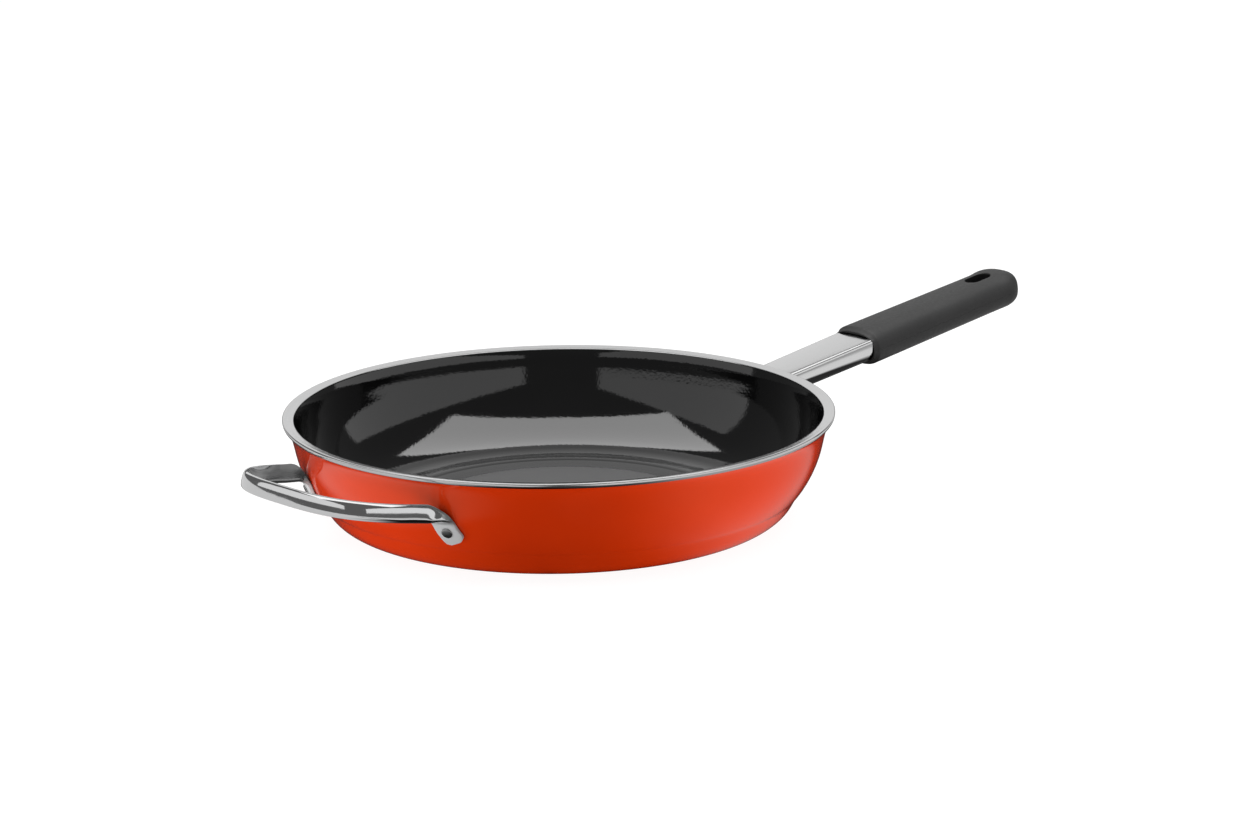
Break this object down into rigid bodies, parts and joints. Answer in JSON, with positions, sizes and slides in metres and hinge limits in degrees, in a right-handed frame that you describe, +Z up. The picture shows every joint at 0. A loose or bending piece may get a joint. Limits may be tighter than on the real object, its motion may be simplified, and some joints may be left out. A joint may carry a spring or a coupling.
{
  "type": "frying pan",
  "caption": "Enamelled steel frying pan with flared walls, a polished rim ring, a long handle with a soft black grip and hanging slot, and a polished loop helper handle opposite.",
  "frame": {"origin": "centre of the flat base, on its underside", "axes": "+X along the long handle seen from above, +Z up out of the bowl; the helper handle is at -X"},
  "size_m": [0.5314, 0.2816, 0.0742],
  "materials": {
    "core_steel": "plain",
    "orange_enamel": "gloss",
    "black_enamel": "gloss",
    "base_enamel": "gloss",
    "polished_steel": "polished",
    "plain_steel": "satin",
    "stud_steel": "satin",
    "black_plastic": "matte",
    "soft_grip": "soft matte"
  },
  "bodies": {
    "root": {"base_enamel": "base_enamel", "bracket_stud_left": "plain_steel", "bracket_stud_right": "plain_steel", "grip": "soft_grip", "grip_screw": "plain_steel", "handle_bracket": "plain_steel", "handle_neck": "polished_steel", "handle_tang": "plain_steel", "helper_handle": "polished_steel", "helper_stud_left": "stud_steel", "helper_stud_right": "stud_steel", "inner_enamel": "black_enamel", "neck_insert": "black_plastic", "neck_screw": "plain_steel", "outer_enamel": "orange_enamel", "rim_ring": "polished_steel", "steel_body": "core_steel"}
  },
  "joints": []
}
